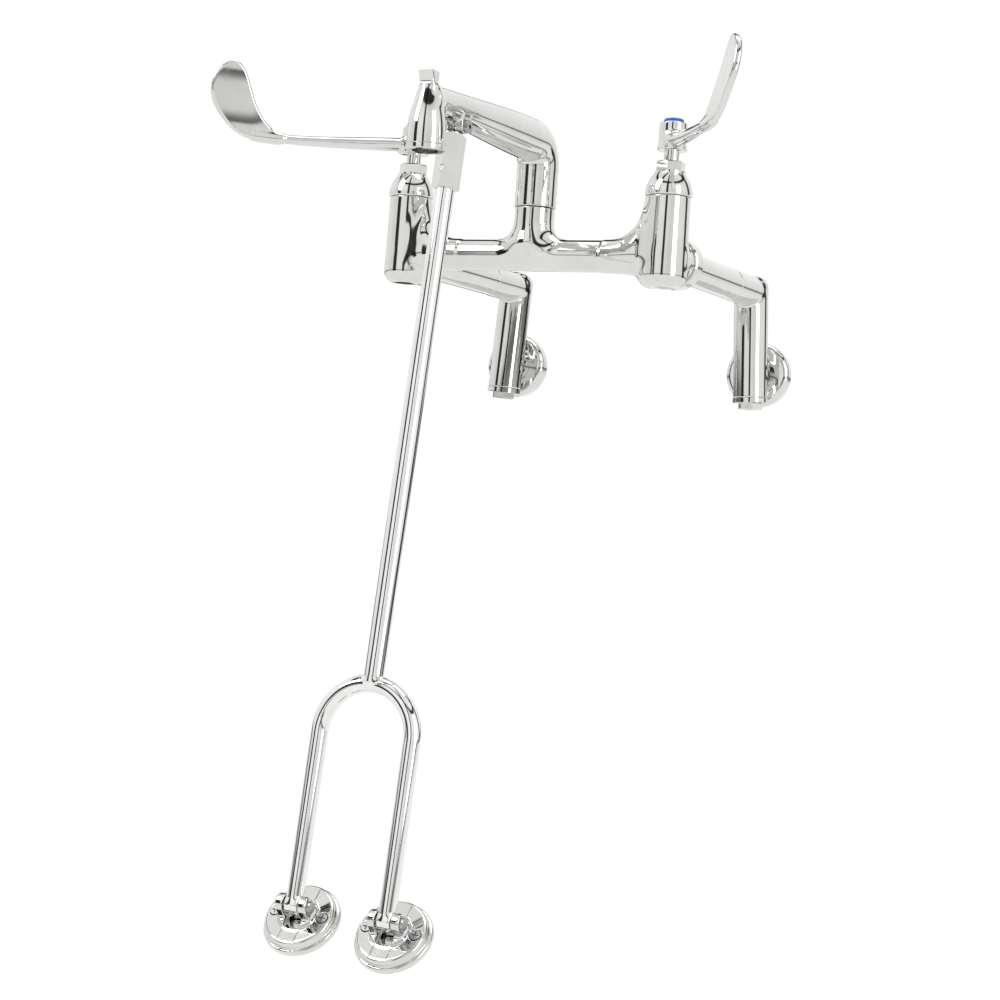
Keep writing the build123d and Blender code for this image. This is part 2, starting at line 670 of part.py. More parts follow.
# ================================================================ arms
for side, name, angle in SIDES:
    with BuildPart() as union_nut:
        with BuildSketch(arm_plane(side, union_front)):
            Circle(union_r)
            Circle(spigot_r + fit_gap, mode=Mode.SUBTRACT)
        extrude(amount=tail_front + tail_t + free_gap - union_front)
        with BuildSketch(arm_plane(side, tail_front + tail_t + free_gap)):
            Circle(union_r)
            Circle(arm_r + free_gap, mode=Mode.SUBTRACT)
        extrude(amount=union_back - tail_front - tail_t - free_gap)
        chamfer(
            union_nut.edges().filter_by(GeomType.CIRCLE).filter_by(lambda e: e.radius > union_r - 0.01),
            length=0.8,
        )
    union_nut.part.label = f"{name}_union_nut"
    export_step(union_nut.part, f"parts/{name}_union_nut.step")

    with BuildPart() as union_washer:
        with BuildSketch(arm_plane(side, spigot_end)):
            Circle(tail_r)
            Circle(pilot_r + free_gap, mode=Mode.SUBTRACT)
        extrude(amount=tail_front - spigot_end)
    union_washer.part.label = f"{name}_union_washer"
    export_step(union_washer.part, f"parts/{name}_union_washer.step")

    with BuildPart() as inlet_arm:
        with BuildSketch(arm_plane(side, spigot_end - 5.0)):
            Circle(pilot_r)
        extrude(amount=tail_front - spigot_end + 5.0)
        with BuildSketch(arm_plane(side, tail_front)):
            Circle(tail_r)
        extrude(amount=tail_t)
        with BuildSketch(arm_plane(side, tail_front + tail_t)):
            Circle(arm_r)
        extrude(amount=seam_y - tail_front - tail_t)
        with BuildSketch(arm_plane(side, union_back + free_gap)):
            Circle(shoulder_r)
        with BuildSketch(arm_plane(side, union_back + free_gap + shoulder_length)):
            Circle(arm_r)
        loft()
        with BuildSketch(arm_plane(side, seam_y)):
            Circle(arm_tail_r)
        extrude(amount=arm_tail)
        with BuildSketch(arm_plane(side, spigot_end - 5.0)):
            Circle(arm_bore_r)
        extrude(amount=seam_y + arm_tail - spigot_end + 5.0, mode=Mode.SUBTRACT)
    inlet_arm.part.label = f"{name}_inlet_arm"
    export_step(inlet_arm.part, f"parts/{name}_inlet_arm.step")

    # elbow with the stop leg and the wall neck
    with BuildPart() as stop_body:
        with BuildSketch(leg_plane(side, -elbow_top)):
            Circle(leg_r)
        extrude(amount=leg_end + elbow_top)
        fillet(stop_body.edges().filter_by(GeomType.CIRCLE).group_by(Axis.Z)[-1], radius=9.5)
        with BuildSketch(arm_plane(side, seam_y)):
            Circle(arm_r + 0.35)
        extrude(amount=arm_length - seam_y)
        with BuildSketch(inlet_plane(side, leg_y)):
            Circle(inlet_neck_r)
        extrude(amount=-leg_y - fit_gap)
        # waterway: wall inlet, plug chamber, elbow
        with BuildSketch(inlet_plane(side, leg_y)):
            Circle(7.0)
        extrude(amount=-leg_y - pipe_depth + 0.2, mode=Mode.SUBTRACT)
        with BuildSketch(inlet_plane(side, -pipe_depth)):
            Circle(pipe_r - 0.2)
        extrude(amount=pipe_depth, mode=Mode.SUBTRACT)
        with BuildSketch(leg_plane(side, inlet_drop - 13)):
            Circle(plug_r + run_gap)
        extrude(amount=leg_end - inlet_drop + 13, mode=Mode.SUBTRACT)
        with BuildSketch(leg_plane(side, 0)):
            Circle(arm_bore_r)
        extrude(amount=inlet_drop - 12.9, mode=Mode.SUBTRACT)
        with BuildSketch(arm_plane(side, seam_y)):
            Circle(arm_bore_r)
        extrude(amount=arm_length - seam_y, mode=Mode.SUBTRACT)
        with BuildSketch(arm_plane(side, seam_y)):
            Circle(arm_tail_r + fit_gap)
        extrude(amount=arm_tail + fit_gap, mode=Mode.SUBTRACT)
    stop_body.part.label = f"{name}_stop_body"
    export_step(stop_body.part, f"parts/{name}_stop_body.step")

    with BuildPart() as stop_plug:
        with BuildSketch(leg_plane(side, inlet_drop - 12.6)):
            Circle(plug_r)
        extrude(amount=leg_end - inlet_drop + 12.6 - free_gap)
        with BuildSketch(leg_plane(side, leg_end - free_gap)):
            Circle(cap_hole_r)
        extrude(amount=cap_end - leg_end + free_gap)
        with BuildSketch(leg_plane(side, inlet_drop - 12.6)):
            Circle(6.2)
        extrude(amount=19, mode=Mode.SUBTRACT)
        with BuildSketch(inlet_plane(side, leg_y)):
            Circle(5.4)
        extrude(amount=12, mode=Mode.SUBTRACT)
        with BuildSketch(leg_plane(side, cap_end)):
            Rectangle(9, 1.2)
        extrude(amount=-1.4, mode=Mode.SUBTRACT)
        with BuildSketch(leg_plane(side, leg_end - 6.0)):
            Circle(plug_r)
            Circle(plug_r - 1.2, mode=Mode.SUBTRACT)
        extrude(amount=2.2, mode=Mode.SUBTRACT)
    stop_plug.part.label = f"{name}_stop_plug"
    export_step(stop_plug.part, f"parts/{name}_stop_plug.step")

    with BuildPart() as stop_o_ring:
        with BuildSketch(leg_plane(side, leg_end - 5.95)):
            Circle(plug_r)
            Circle(plug_r - 1.18, mode=Mode.SUBTRACT)
        extrude(amount=2.1)
    stop_o_ring.part.label = f"{name}_stop_o_ring"
    export_step(stop_o_ring.part, f"parts/{name}_stop_o_ring.step")

    with BuildPart() as stop_cap:
        with BuildSketch(leg_plane(side, leg_end)):
            RegularPolygon(cap_across_flats / 2, 6, major_radius=False)
        extrude(amount=cap_end - leg_end)
        chamfer(stop_cap.edges().group_by(Axis.Z)[0], length=0.6)
        with BuildSketch(leg_plane(side, leg_end)):
            Circle(cap_ring_r)
        extrude(amount=cap_ring_t)
        with BuildSketch(leg_plane(side, leg_end)):
            Circle(cap_hole_r + run_gap)
        extrude(amount=cap_end - leg_end, mode=Mode.SUBTRACT)
    stop_cap.part.label = f"{name}_stop_cap"
    export_step(stop_cap.part, f"parts/{name}_stop_cap.step")

    with BuildPart() as wall_flange:
        with BuildSketch(Plane(origin=(side * inlet_x, 0, 0), x_dir=(0, 0, 1), z_dir=(1, 0, 0))):
            with BuildLine():
                Polyline(
                    (inlet_neck_r + fit_gap, 0),
                    (flange_r, 0),
                    (flange_r, flange_t),
                )
                ThreePointArc(
                    (flange_r, flange_t),
                    (flange_r - 0.293 * flange_round, flange_t + 0.707 * flange_round),
                    (flange_r - flange_round, flange_t + flange_round),
                )
                Polyline(
                    (flange_r - flange_round, flange_t + flange_round),
                    (inlet_neck_r + fit_gap, flange_t + flange_round),
                    (inlet_neck_r + fit_gap, 0),
                )
            make_face()
        revolve(axis=Axis((side * inlet_x, 0, 0), (0, 1, 0)))
    wall_flange.part.label = f"{name}_wall_flange"
    export_step(wall_flange.part, f"parts/{name}_wall_flange.step")

# ================================================================ brace
with BuildPart() as pivot_screw:
    with BuildSketch(Plane(origin=pivot - Vector(ear_span / 2, 0, 0), x_dir=(0, 1, 0), z_dir=(1, 0, 0))):
        Circle(pivot_pin_r)
    extrude(amount=ear_span)
    with BuildSketch(Plane(origin=pivot + Vector(ear_span / 2, 0, 0), x_dir=(0, 1, 0), z_dir=(1, 0, 0))):
        Circle(4.2)
    extrude(amount=3.2)
    with BuildSketch(
        Plane(origin=pivot + Vector(ear_span / 2 + 3.2, 0, 0), x_dir=(0, 1, 0), z_dir=(1, 0, 0))
    ):
        RegularPolygon(1.7, 6)
    extrude(amount=-2.0, mode=Mode.SUBTRACT)
pivot_screw.part.label = "pivot_screw"
export_step(pivot_screw.part, "parts/pivot_screw.step")

with BuildPart() as brace_stud:
    with BuildSketch(Plane(origin=pivot, x_dir=(0, 1, 0), z_dir=(1, 0, 0))):
        Circle(stud_head_r)
        with Locations((-2.6 * lean_sin, -2.6 * lean_cos)):
            Rectangle(2 * stud_head_r - 0.6, 5.2, rotation=-brace_lean)
    extrude(amount=eye_t / 2, both=True)
    with BuildSketch(brace_plane(collar_start)):
        Circle(6.8)
    extrude(amount=coupling_start - collar_start)
    with BuildSketch(brace_plane(coupling_start)):
        Circle(3.9)
    extrude(amount=rod_start - coupling_start - 0.2)
    with BuildSketch(Plane(origin=pivot - Vector(20, 0, 0), x_dir=(0, 1, 0), z_dir=(1, 0, 0))):
        Circle(pivot_pin_r + run_gap)
    extrude(amount=40, mode=Mode.SUBTRACT)
brace_stud.part.label = "brace_stud"
export_step(brace_stud.part, "parts/brace_stud.step")

with BuildPart() as brace_coupling:
    with BuildSketch(brace_plane(coupling_start)):
        RegularPolygon(coupling_across_flats / 2, 6, major_radius=False, rotation=30)
    extrude(amount=coupling_length)
    chamfer(brace_coupling.edges().group_by(Axis.Z)[0], length=0.6)
    with BuildSketch(brace_plane(coupling_start)):
        Circle(3.9 + fit_gap)
    extrude(amount=rod_start - coupling_start, mode=Mode.SUBTRACT)
    with BuildSketch(brace_plane(rod_start)):
        Circle(rod_r + run_gap)
    extrude(amount=coupling_length, mode=Mode.SUBTRACT)
    grip = brace_plane(0).y_dir
    tap = Plane(origin=brace_plane(coupling_start + set_screw_along).origin, x_dir=(1, 0, 0), z_dir=grip)
    with BuildSketch(tap):
        Circle(2.1)
    extrude(amount=12, mode=Mode.SUBTRACT)
brace_coupling.part.label = "brace_coupling"
export_step(brace_coupling.part, "parts/brace_coupling.step")

with BuildPart() as brace_set_screw:
    with BuildSketch(tap.offset(rod_r + free_gap)):
        Circle(2.0)
    extrude(amount=1.4)
brace_set_screw.part.label = "brace_set_screw"
export_step(brace_set_screw.part, "parts/brace_set_screw.step")

with BuildPart() as brace_rod:
    with BuildSketch(brace_plane(rod_start + 8)):
        Circle(rod_r)
    extrude(amount=fork_top - rod_start - 8 + 1.2)
brace_rod.part.label = "brace_rod"
export_step(brace_rod.part, "parts/brace_rod.step")

fork_bend = leg_spacing / 2
with BuildPart() as brace_fork:
    bend_start = fork_top + fork_tube_r + fork_bend
    with BuildLine(Plane(origin=pivot, x_dir=(1, 0, 0), z_dir=brace_plane(0).y_dir)):
        Line((-fork_bend, -(brace_length - 7)), (-fork_bend, -bend_start))
        ThreePointArc((-fork_bend, -bend_start), (0, -bend_start + fork_bend), (fork_bend, -bend_start))
        Line((fork_bend, -bend_start), (fork_bend, -(brace_length - 7)))
    with BuildSketch(brace_plane(brace_length - 7, -fork_bend)):
        Circle(fork_tube_r)
    sweep()
    with BuildSketch(brace_plane(rod_start + 8)):
        Circle(rod_r + 0.001)
    extrude(amount=fork_top - rod_start - 8 + 1.2, mode=Mode.SUBTRACT)
    for side in (-1, 1):
        with BuildSketch(pin_plane(side, 0)):
            Circle(fork_tube_r)
            with Locations((4 * lean_sin, 4 * lean_cos)):
                Rectangle(2 * fork_tube_r, 8, rotation=-brace_lean)
        extrude(amount=4.6, both=True)
        with BuildSketch(pin_plane(side, -10)):
            Circle(hinge_pin_r + run_gap)
        extrude(amount=20, mode=Mode.SUBTRACT)
brace_fork.part.label = "brace_fork"
export_step(brace_fork.part, "parts/brace_fork.step")

for side, name in ((-1, "left"), (1, "right")):
    with BuildPart() as foot_flange:
        with BuildSketch(foot_plane(side, 0)):
            Circle(foot_face_r)
        extrude(amount=foot_t)
        fillet(foot_flange.edges().filter_by(GeomType.CIRCLE).group_by(Axis.Z)[-1], radius=1.8)
        with BuildSketch(foot_plane(side, 0)):
            Circle(foot_r)
        extrude(amount=foot_rim_t)
        with BuildSketch(foot_plane(side, foot_t)):
            Circle(foot_boss_r)
        extrude(amount=foot_base_t)
        # knuckles round the hinge pin
        knuckle_w = 2 * foot_knuckle_r
        with BuildSketch(pin_plane(side, 0)):
            Circle(foot_knuckle_r)
            with Locations(Location(((foot_pin_h / 2) * foot_cos, -(foot_pin_h / 2) * foot_sin), 90 - foot_lean)):
                Rectangle(knuckle_w, foot_pin_h)
        extrude(amount=foot_knuckle_x, both=True)
        with BuildSketch(foot_plane(side, foot_t)):
            Rectangle(2 * (fork_tube_r + free_gap), 60)
        extrude(amount=40, mode=Mode.SUBTRACT)
        with BuildSketch(pin_plane(side, -20)):
            Circle(hinge_pin_r + fit_gap)
        extrude(amount=40, mode=Mode.SUBTRACT)
        with BuildSketch(foot_plane(side, 0)):
            with PolarLocations(foot_screw_spacing / 2, 2):
                Circle(foot_screw_r + 0.3)
        extrude(amount=foot_t + foot_boss_h, mode=Mode.SUBTRACT)
        with BuildSketch(foot_plane(side, foot_t - foot_screw_seat)):
            with PolarLocations(foot_screw_spacing / 2, 2):
                Circle(foot_screw_head_r + free_gap)
        extrude(amount=foot_boss_h + 3, mode=Mode.SUBTRACT)
    foot_flange.part.label = f"{name}_foot_flange"
    export_step(foot_flange.part, f"parts/{name}_foot_flange.step")

    with BuildPart() as hinge_pin:
        with BuildSketch(pin_plane(side, 0.4 - foot_knuckle_x)):
            Circle(hinge_pin_r)
        extrude(amount=2 * foot_knuckle_x + fit_gap - 0.4)
        with BuildSketch(pin_plane(side, foot_knuckle_x + fit_gap)):
            Circle(3.8)
        extrude(amount=1.8)
    hinge_pin.part.label = f"{name}_hinge_pin"
    export_step(hinge_pin.part, f"parts/{name}_hinge_pin.step")

    with BuildPart() as foot_screws:
        with BuildSketch(foot_plane(side, 0.3)):
            with PolarLocations(foot_screw_spacing / 2, 2):
                Circle(foot_screw_r)
        extrude(amount=foot_t - foot_screw_seat - 0.3)
        with BuildSketch(foot_plane(side, foot_t - foot_screw_seat + 0.1)):
            with PolarLocations(foot_screw_spacing / 2, 2):
                Circle(foot_screw_head_r)
        extrude(amount=2.6)
        with BuildSketch(foot_plane(side, foot_t - foot_screw_seat - 0.05)):
            with PolarLocations(foot_screw_spacing / 2, 2):
                Circle(foot_screw_r)
        extrude(amount=0.3)
        with BuildSketch(foot_plane(side, foot_t + 0.3)):
            with PolarLocations(foot_screw_spacing / 2, 2):
                Rectangle(4.8, 0.9)
                Rectangle(0.9, 4.8)
        extrude(amount=-1.2, mode=Mode.SUBTRACT)
    foot_screws.part.label = f"{name}_foot_screws"
    export_step(foot_screws.part, f"parts/{name}_foot_screws.step")
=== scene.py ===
import math
import bmesh
import bpy
import numpy as np
from mathutils import Matrix, Vector


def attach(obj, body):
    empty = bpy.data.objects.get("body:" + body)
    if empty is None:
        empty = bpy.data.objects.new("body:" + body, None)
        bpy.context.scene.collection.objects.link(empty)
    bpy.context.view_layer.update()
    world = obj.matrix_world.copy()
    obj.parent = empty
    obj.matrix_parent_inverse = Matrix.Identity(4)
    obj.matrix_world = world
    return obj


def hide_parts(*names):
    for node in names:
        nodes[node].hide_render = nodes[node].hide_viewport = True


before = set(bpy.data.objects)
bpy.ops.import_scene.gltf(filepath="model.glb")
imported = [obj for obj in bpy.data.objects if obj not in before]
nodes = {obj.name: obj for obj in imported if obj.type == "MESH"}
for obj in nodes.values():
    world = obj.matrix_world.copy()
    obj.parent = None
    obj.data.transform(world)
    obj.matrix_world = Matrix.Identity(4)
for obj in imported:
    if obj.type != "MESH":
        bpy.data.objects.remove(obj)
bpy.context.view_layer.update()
scene = bpy.context.scene

# ---------------------------------------------------------------- sizes, metres
HALF = 0.1016                       # half of the valve spacing
WALL_TO_VALVES = 0.212
SPLAY = math.radians(3.4)           # how far the stop legs lean outward
LEG_DROP, TUBE_RISE, ARM_LENGTH = 0.0628, 0.0017, 0.1885
ARM_Z = LEG_DROP * math.cos(SPLAY)
TUBE_Z = ARM_Z + TUBE_RISE
LEG_Y = -WALL_TO_VALVES + ARM_LENGTH

# ---------------------------------------------------------------- materials
NOISE_LOW, NOISE_HIGH = 0.3, 0.7    # the middle of a noise, where nearly all of it lies
# the plate colours are the rod's chrome darkened by about a sixth: painted shade on the castings, handles and
# drawn parts, whose chrome is the same as the rod's
SHADED_PLATE_DARK, SHADED_PLATE_LIGHT = (0.665, 0.664, 0.643), (0.735, 0.733, 0.712)
ROD_DARK, ROD_LIGHT = (0.80, 0.80, 0.79), (0.87, 0.87, 0.86)


def new_material(name):
    mat = bpy.data.materials.new(name)
    mat.use_nodes = True
    tree = mat.node_tree
    shader = tree.nodes["Principled BSDF"]
    coords = tree.nodes.new("ShaderNodeTexCoord")
    return mat, tree, shader, coords


def noise(tree, coords, scale, detail=3.0, rough=0.5, stretch=None):
    node = tree.nodes.new("ShaderNodeTexNoise")
    node.inputs["Scale"].default_value = scale
    node.inputs["Detail"].default_value = detail
    node.inputs["Roughness"].default_value = rough
    source = coords.outputs["Object"]
    if stretch:
        mapping = tree.nodes.new("ShaderNodeMapping")
        mapping.inputs["Scale"].default_value = stretch
        tree.links.new(source, mapping.inputs["Vector"])
        source = mapping.outputs["Vector"]
    tree.links.new(source, node.inputs["Vector"])
    return node.outputs["Fac"]


def ramp(tree, source, low, high):
    node = tree.nodes.new("ShaderNodeMapRange")
    node.inputs["From Min"].default_value = NOISE_LOW
    node.inputs["From Max"].default_value = NOISE_HIGH
    node.inputs["To Min"].default_value = low
    node.inputs["To Max"].default_value = high
    tree.links.new(source, node.inputs["Value"])
    return node.outputs["Result"]


def tint(tree, source, colour_a, colour_b):
    node = tree.nodes.new("ShaderNodeValToRGB")
    node.color_ramp.elements[0].position = NOISE_LOW
    node.color_ramp.elements[1].position = NOISE_HIGH
    node.color_ramp.elements[0].color = (*colour_a, 1)
    node.color_ramp.elements[1].color = (*colour_b, 1)
    tree.links.new(source, node.inputs["Fac"])
    return node.outputs["Color"]


def bump(tree, shader, source, strength, distance):
    node = tree.nodes.new("ShaderNodeBump")
    node.inputs["Strength"].default_value = strength
    node.inputs["Distance"].default_value = distance
    tree.links.new(source, node.inputs["Height"])
    tree.links.new(node.outputs["Normal"], shader.inputs["Normal"])


def chrome(name, wave, dark=SHADED_PLATE_DARK, light=SHADED_PLATE_LIGHT):
    # polished plate: faint casting waves, wipe marks in the gloss, water haze; by default its colours carry
    # painted shade, darker than the rod's chrome
    haze_scale, wipe_scale, wave_scale, wave_depth = 42.0, 160.0, 26.0, 0.001
    clean_gloss, wiped_gloss, wipe_stretch = 0.035, 0.085, (1.0, 1.0, 0.25)
    mat, tree, shader, coords = new_material(name)
    shader.inputs["Metallic"].default_value = 1.0
    haze = noise(tree, coords, haze_scale, 4.0, 0.6)
    tree.links.new(tint(tree, haze, dark, light), shader.inputs["Base Color"])
    wipes = noise(tree, coords, wipe_scale, 3.0, 0.55, wipe_stretch)
    tree.links.new(ramp(tree, wipes, clean_gloss, wiped_gloss), shader.inputs["Roughness"])
    bump(tree, shader, noise(tree, coords, wave_scale, 2.0, 0.4), wave, wave_depth)
    return mat


def machined(name, colour_a, colour_b, rough, stretch):
    # fine tool marks that run round or along the piece
    mark_scale, patch_scale, mark_strength, mark_depth = 900.0, 60.0, 0.25, 0.00008
    mat, tree, shader, coords = new_material(name)
    shader.inputs["Metallic"].default_value = 1.0
    marks = noise(tree, coords, mark_scale, 4.0, 0.6, stretch)
    patches = noise(tree, coords, patch_scale, 3.0, 0.5)
    tree.links.new(tint(tree, patches, colour_a, colour_b), shader.inputs["Base Color"])
    tree.links.new(ramp(tree, marks, rough - 0.07, rough + 0.1), shader.inputs["Roughness"])
    bump(tree, shader, marks, mark_strength, mark_depth)
    return mat


def moulded(name, colour_a, colour_b, rough, grain_scale, grain):
    # soft patches of colour and gloss over a fine grain
    patch_scale, grain_depth = 90.0, 0.0001
    mat, tree, shader, coords = new_material(name)
    patches = noise(tree, coords, patch_scale, 3.0, 0.5)
    tree.links.new(tint(tree, patches, colour_a, colour_b), shader.inputs["Base Color"])
    tree.links.new(ramp(tree, patches, rough - 0.04, rough + 0.06), shader.inputs["Roughness"])
    bump(tree, shader, noise(tree, coords, grain_scale, 3.0, 0.6), grain, grain_depth)
    return mat


# cast, drawn and forged chrome take the darkened plate colours (painted shade); the rod keeps the plain chrome
# colours
chrome_cast = chrome("chrome_cast", 0.10)
chrome_drawn = chrome("chrome_drawn", 0.02)
chrome_forged = chrome("chrome_forged", 0.05)
chrome_rod = chrome("chrome_rod", 0.02, ROD_DARK, ROD_LIGHT)
steel = machined("steel_machined", (0.42, 0.42, 0.44), (0.52, 0.52, 0.54), 0.26, (1.0, 1.0, 6.0))
brass = machined("brass_turned", (0.62, 0.45, 0.20), (0.74, 0.57, 0.29), 0.24, (1.0, 1.0, 8.0))
rubber = moulded("rubber_black", (0.012, 0.012, 0.013), (0.03, 0.03, 0.032), 0.55, 1400.0, 0.3)
ceramic = moulded("ceramic_lapped", (0.80, 0.79, 0.74), (0.86, 0.85, 0.80), 0.18, 900.0, 0.05)
acetal = moulded("acetal_grey", (0.50, 0.52, 0.54), (0.58, 0.60, 0.62), 0.42, 700.0, 0.15)
red_dot = moulded("index_red_gloss", (0.50, 0.02, 0.02), (0.62, 0.04, 0.03), 0.16, 500.0, 0.06)
blue_dot = moulded("index_blue_gloss", (0.01, 0.10, 0.48), (0.02, 0.15, 0.60), 0.16, 500.0, 0.06)

FINISH = {
    "valve_body": chrome_cast, "spout": chrome_cast, "outlet_ring": chrome_drawn,
    "flow_straightener": acetal, "spout_o_rings": rubber, "spout_lock_screw": steel,
    "pivot_screw": steel, "brace_stud": chrome_drawn, "brace_coupling": chrome_drawn,
    "brace_set_screw": steel, "brace_rod": chrome_rod, "brace_fork": chrome_rod,
}
for side, dot in (("hot", red_dot), ("cold", blue_dot)):
    FINISH.update({
        f"{side}_bonnet": chrome_drawn, f"{side}_packing_nut": chrome_drawn, f"{side}_packing": rubber,
        f"{side}_seat_washer": rubber, f"{side}_cartridge_sleeve": brass, f"{side}_fixed_disc": ceramic,
        f"{side}_moving_disc": ceramic, f"{side}_stem": chrome_drawn, f"{side}_handle": chrome_forged,
        f"{side}_handle_screw": steel, f"{side}_index_button": dot, f"{side}_union_nut": chrome_drawn,
        f"{side}_union_washer": rubber, f"{side}_inlet_arm": chrome_drawn,
        f"{side}_stop_body": chrome_cast, f"{side}_stop_plug": brass, f"{side}_stop_o_ring": rubber,
        f"{side}_stop_cap": chrome_drawn, f"{side}_wall_flange": chrome_drawn,
    })
for side in ("left", "right"):
    FINISH[f"{side}_foot_flange"] = chrome_cast
    FINISH[f"{side}_hinge_pin"] = steel
    FINISH[f"{side}_foot_screws"] = steel
for name, obj in nodes.items():
    obj.data.materials.clear()
    obj.data.materials.append(FINISH[name])

# ---------------------------------------------------------------- smooth castings
# Each casting is a distance field in millimetres, blended where its forms meet,
# and becomes a closed mesh whose points and normals lie on that field.
ORIGIN, X, Y, Z = (0, 0, 0), (1, 0, 0), (0, 1, 0), (0, 0, 1)


def length(*parts):
    return np.sqrt(sum(c * c for c in parts))


def round_off(a, b, edge):
    # solid where both a and b are negative, with its edge rounded
    a, b = a + edge, b + edge
    return length(np.maximum(a, 0), np.maximum(b, 0)) + np.minimum(np.maximum(a, b), 0) - edge


def within(value, middle, half):
    # negative where the value is less than half from the middle
    return abs(value - middle) - half


def bar(p, origin, axis, radius, start, stop, edge=0.5):
    q = [p[i] - origin[i] for i in range(3)]
    along = sum(q[i] * axis[i] for i in range(3))
    radial = np.sqrt(np.maximum(sum(c * c for c in q) - along * along, 0))
    return round_off(radial - radius, abs(along - (start + stop) / 2) - (stop - start) / 2, edge)


def capsule(u, v, a, b, radius):
    # flat outline of a bar with round ends
    run = (b[0] - a[0], b[1] - a[1])
    t = np.clip(((u - a[0]) * run[0] + (v - a[1]) * run[1]) / (run[0] ** 2 + run[1] ** 2), 0, 1)
    return length(u - a[0] - run[0] * t, v - a[1] - run[1] * t) - radius


def smooth_loop(points, steps=6):
    # closed Catmull-Rom curve through the points
    count = len(points)
    loop = []
    for i in range(count):
        a, b, c, d = (np.array(points[(i + k) % count]) for k in (-1, 0, 1, 2))
        for t in np.arange(steps) / steps:
            square = (2 * a - 5 * b + 4 * c - d) * t ** 2
            cube = (3 * (b - c) + d - a) * t ** 3
            loop.append(0.5 * (2 * b + (c - a) * t + square + cube))
    return loop


def outline(u, v, points):
    # signed distance to a closed outline
    u, v = np.broadcast_arrays(u, v)
    best = np.full(u.shape, 1e9)
    sign = np.ones(u.shape)
    for i, (ax, ay) in enumerate(points):
        bx, by = points[(i + 1) % len(points)]
        ex, ey = bx - ax, by - ay
        wx, wy = u - ax, v - ay
        t = np.clip((wx * ex + wy * ey) / (ex * ex + ey * ey), 0, 1)
        best = np.minimum(best, (wx - ex * t) ** 2 + (wy - ey * t) ** 2)
        rising = (ay <= v) & (by > v) & (ex * wy > ey * wx)
        falling = (ay > v) & (by <= v) & (ex * wy < ey * wx)
        sign = np.where(rising | falling, -sign, sign)
    return sign * np.sqrt(best)


def join(a, b, k):
    # both solids, blended over k where they meet
    h = np.maximum(k - abs(a - b), 0) / k
    return np.minimum(a, b) - h * h * k * 0.25


def cut(a, b, k=0.5):
    # the first solid without the second
    return -join(-a, b, k)


def bore(solid, p, rows):
    # a row: place, direction, radius, start, stop, rounding of its ends, blend
    for place, along, radius, start, stop, edge, blend in rows:
        solid = cut(solid, bar(p, place, along, radius, start, stop, edge), blend)
    return solid


def capsule_bar(p, a, b, radius):
    run = [b[i] - a[i] for i in range(3)]
    t = np.clip(sum((p[i] - a[i]) * run[i] for i in range(3)) / sum(c * c for c in run), 0, 1)
    return length(*[p[i] - a[i] - run[i] * t for i in range(3)]) - radius


def ease(value, start, stop):
    t = np.clip((value - start) / (stop - start), 0, 1)
    return t * t * (3 - 2 * t)


def stand(x_axis, y_axis, z_axis, at):
    # the frame with these axes at this place
    rows = [(x_axis[i], y_axis[i], z_axis[i], at[i]) for i in range(3)]
    return Matrix((*rows, (0, 0, 0, 1)))


def casting(name, field, low, high, cell, place, replaced, body):
    # one point for each cell that the surface crosses, one face for each crossed edge
    size = [int(math.ceil((high[i] - low[i]) / cell)) + 3 for i in range(3)]
    axes = [low[i] - cell + cell * np.arange(size[i]) for i in range(3)]
    values = np.broadcast_to(field(np.meshgrid(*axes, indexing="ij", sparse=True)), size)
    inside = values < 0
    total = sum(
        inside[x:size[0] - 1 + x, y:size[1] - 1 + y, z:size[2] - 1 + z].astype(np.int8)
        for x in (0, 1) for y in (0, 1) for z in (0, 1)
    )
    active = (total > 0) & (total < 8)
    index = np.full(active.shape, -1, np.int64)
    where = np.argwhere(active)
    index[active] = np.arange(len(where))
    points = [axes[i][where[:, i]] + cell / 2 for i in range(3)]
    faces = []
    for axis in range(3):
        order = (axis, (axis + 1) % 3, (axis + 2) % 3)
        first = inside.transpose(order)
        cells = index.transpose(order)
        i, j, k = np.nonzero(first[:-1, 1:-1, 1:-1] != first[1:, 1:-1, 1:-1])
        quad = np.stack([cells[i, j, k], cells[i, j + 1, k], cells[i, j + 1, k + 1], cells[i, j, k + 1]], 1)
        hollow = ~first[i, j + 1, k + 1]
        quad[hollow] = quad[hollow][:, ::-1]
        faces.append(quad)

    def slope(q, step=0.02):
        rise = []
        for i in range(3):
            after = field([c + step * (j == i) for j, c in enumerate(q)])
            before = field([c - step * (j == i) for j, c in enumerate(q)])
            rise.append((after - before) / (2 * step))
        return rise

    # four Newton steps put the points on the field's surface
    for _ in range(4):
        rise = slope(points)
        steepness = np.maximum(sum(c * c for c in rise), 0.3)
        move = np.clip(field(points) / steepness, -cell, cell)
        points = [points[i] - rise[i] * move for i in range(3)]
    normals = np.stack(slope(points), 1)
    normals /= np.maximum(np.linalg.norm(normals, axis=1, keepdims=True), 1e-9)
    turned = np.array(place.to_3x3())
    spots = np.stack(points, 1) * 0.001 @ turned.T + np.array(place.translation)
    mesh = bpy.data.meshes.new(name)
    mesh.from_pydata(spots.tolist(), [], np.concatenate(faces).tolist())
    mesh.polygons.foreach_set("use_smooth", [True] * len(mesh.polygons))
    mesh.update()
    mesh.normals_split_custom_set_from_vertices((normals @ turned.T).tolist())
    mesh.materials.append(FINISH[replaced])
    piece = bpy.data.objects.new(name, mesh)
    scene.collection.objects.link(piece)
    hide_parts(replaced)
    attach(piece, body)


